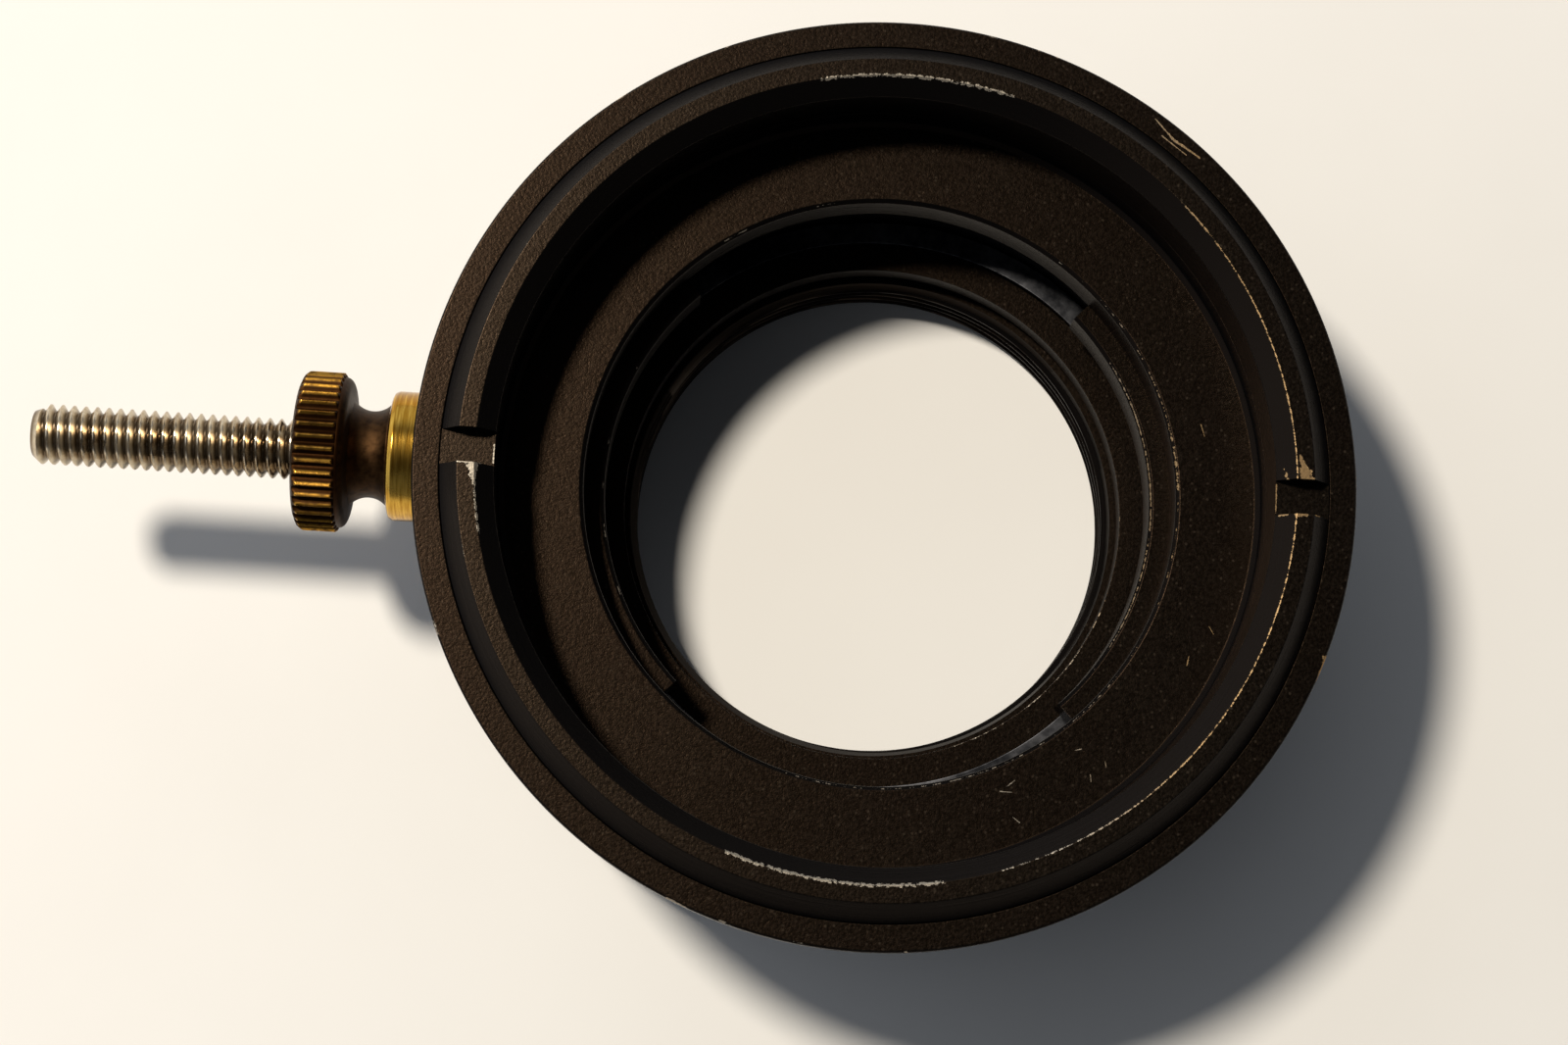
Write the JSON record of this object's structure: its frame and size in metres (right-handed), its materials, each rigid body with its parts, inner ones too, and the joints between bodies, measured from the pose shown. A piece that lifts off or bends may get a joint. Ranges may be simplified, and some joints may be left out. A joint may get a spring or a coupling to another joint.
{
  "type": "bayonet lens adapter ring",
  "caption": "Black ring adapter with a stepped bore, a lug bayonet throat, a slotted front rim and a side stud with a knurled brass nut.",
  "frame": {"origin": "centre of the rear thread at the back face", "axes": "+Z along the lens axis towards the slotted front rim, -X along the side stud, +Y completes the frame"},
  "size_m": [0.0906, 0.064, 0.022],
  "materials": {
    "black_anodised": "matte black anodised, worn at the edges",
    "bright_steel": "zinc plated",
    "spring_steel": "blackened",
    "polished_brass": "turned and rubbed bright",
    "aged_brass": "brown patina"
  },
  "bodies": {
    "adapter": {"main_body": "black_anodised", "slotted_ring": "black_anodised", "lug_ring": "black_anodised", "wave_spring": "spring_steel", "rear_ring": "black_anodised", "thread_insert": "black_anodised", "lug_dowels": "bright_steel", "insert_grub_screws": "spring_steel", "threaded_stud": "bright_steel"},
    "collar": {"brass_collar": "polished_brass"},
    "nut": {"knurled_nut": "aged_brass"}
  },
  "joints": [
    {"name": "nut_travel", "type": "slide", "parent": "adapter", "child": "collar", "axis": [-1, 0, 0], "range_m": [0, 0.01587]},
    {"name": "nut_spin", "type": "hinge", "parent": "collar", "child": "nut", "pos_m": [-0.0375, 0.0004, 0.0141], "axis": [-1, 0, 0], "range_deg": [0, 7200]}
  ],
  "couplings": [
    {"joint": "nut_spin", "follows": "nut_travel", "rad_per_m": 7915.8}
  ]
}
